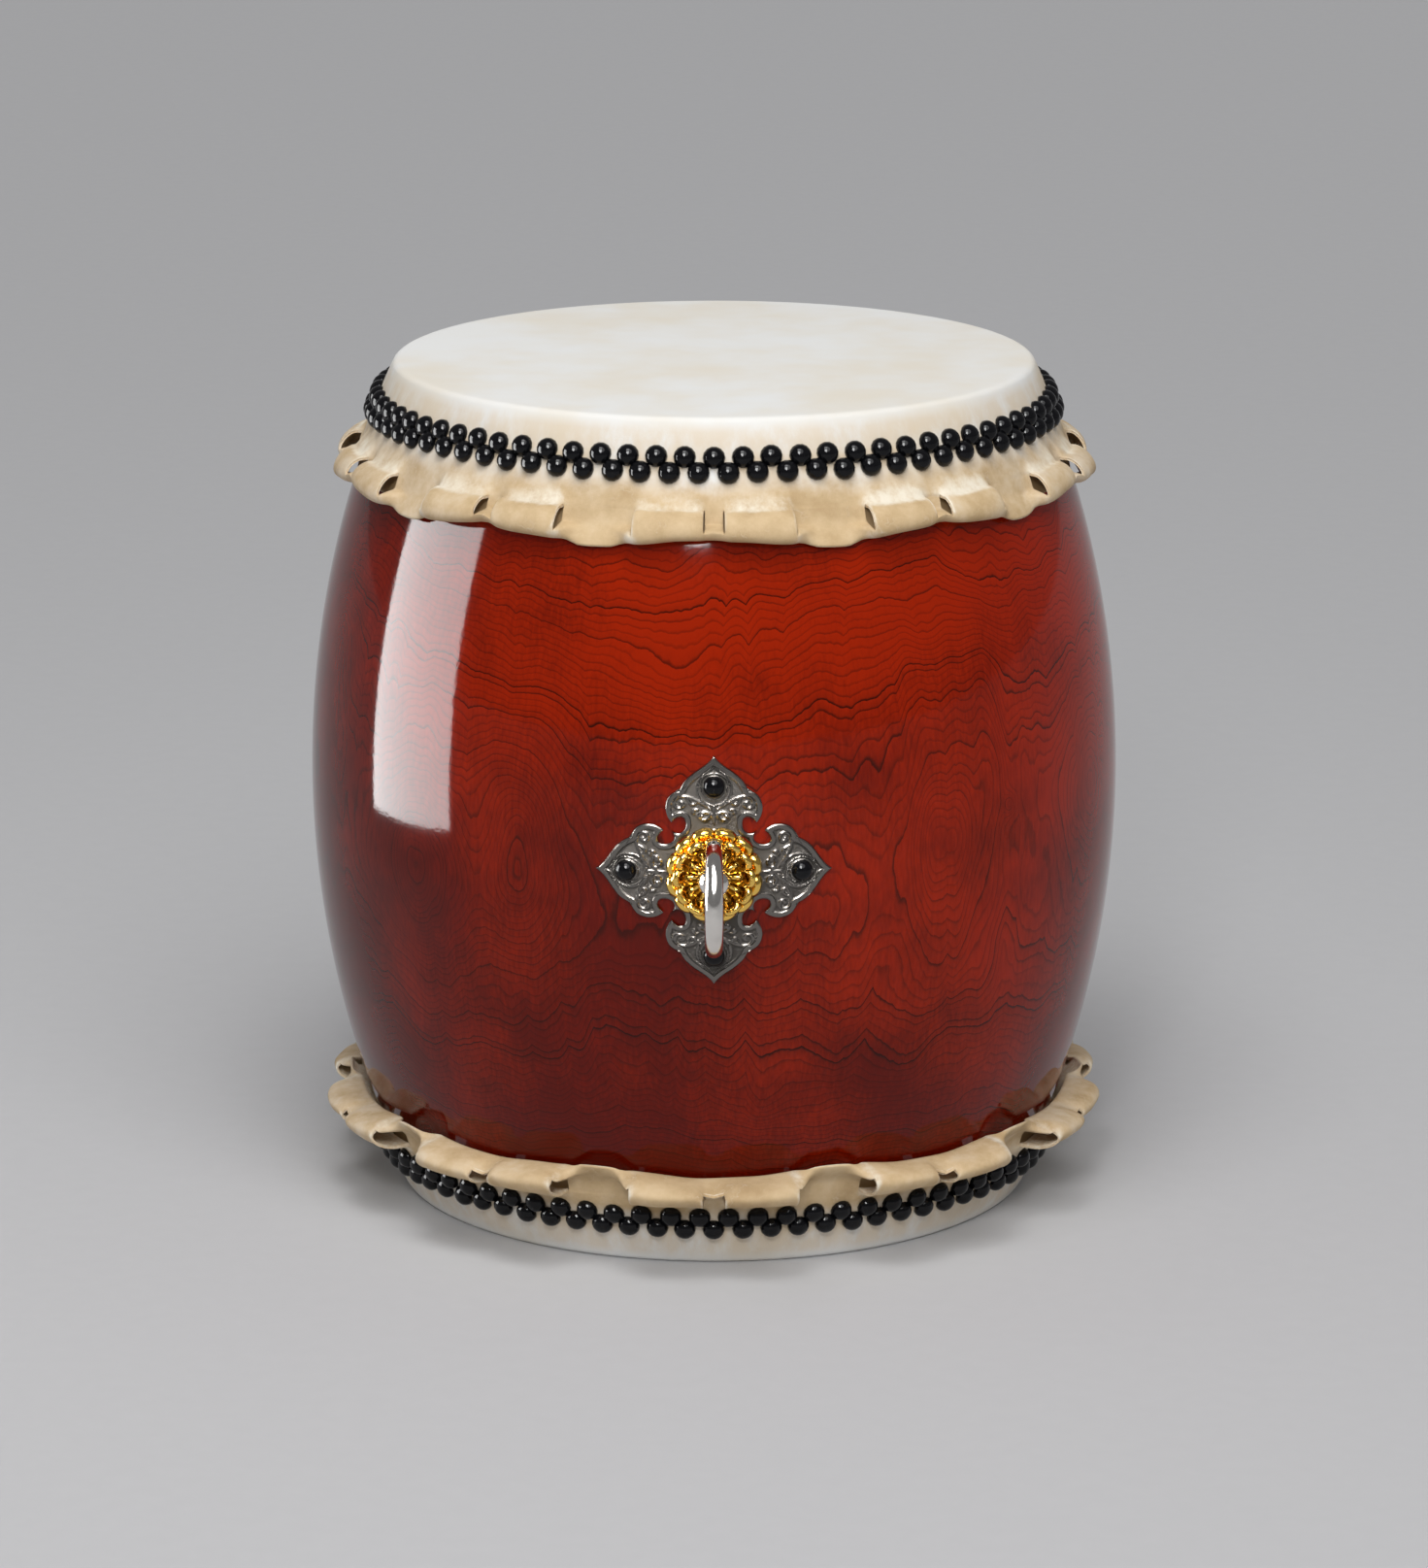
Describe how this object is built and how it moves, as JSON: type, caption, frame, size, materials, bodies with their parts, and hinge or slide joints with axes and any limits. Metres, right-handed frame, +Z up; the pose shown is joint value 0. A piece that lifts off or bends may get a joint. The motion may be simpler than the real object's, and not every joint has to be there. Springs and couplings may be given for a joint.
{
  "type": "barrel drum",
  "caption": "Standing barrel drum: a lacquered wooden shell between tacked rawhide heads with rolled skirts, with swinging ring handles at front and rear.",
  "frame": {"origin": "middle of the lower head's outer face, on which the drum stands", "axes": "+Z up along the drum's axis, +Y from the front handle to the rear handle, +X to the right as seen from the front"},
  "size_m": [0.578, 0.7822, 0.6],
  "materials": {
    "lacquered_wood": "glossy clear red-brown lacquer over figured zelkova",
    "rawhide": "dry cream rawhide, smooth on the head and tan on the skirt",
    "black_lacquer": "glossy black on domed iron heads",
    "dark_nickel": "black-nickel plating, polished border and stippled field",
    "gold": "polished gold plating",
    "silver": "polished silver plating",
    "steel": "plain steel"
  },
  "bodies": {
    "drum": {"shell": "lacquered_wood", "upper_skin": "rawhide", "lower_skin": "rawhide", "upper_tacks": "black_lacquer", "lower_tacks": "black_lacquer", "front_cross_plate": "dark_nickel", "front_outer_rosette": "gold", "front_inner_rosette": "gold", "front_eye_pin": "silver", "front_inner_washer": "steel", "front_plate_nail_top": "black_lacquer", "front_plate_nail_right": "black_lacquer", "front_plate_nail_bottom": "black_lacquer", "front_plate_nail_left": "black_lacquer", "rear_cross_plate": "dark_nickel", "rear_outer_rosette": "gold", "rear_inner_rosette": "gold", "rear_eye_pin": "silver", "rear_inner_washer": "steel", "rear_plate_nail_top": "black_lacquer", "rear_plate_nail_right": "black_lacquer", "rear_plate_nail_bottom": "black_lacquer", "rear_plate_nail_left": "black_lacquer"},
    "front_ring": {"front_ring": "silver"},
    "rear_ring": {"rear_ring": "silver"}
  },
  "joints": [
    {"name": "front_ring_swing", "type": "hinge", "parent": "drum", "child": "front_ring", "pos_m": [0, -0.31797, 0.3], "axis": [0, 0, 1], "range_deg": [-95, 95]},
    {"name": "rear_ring_swing", "type": "hinge", "parent": "drum", "child": "rear_ring", "pos_m": [0, 0.31797, 0.3], "axis": [0, 0, 1], "range_deg": [-95, 95]}
  ]
}
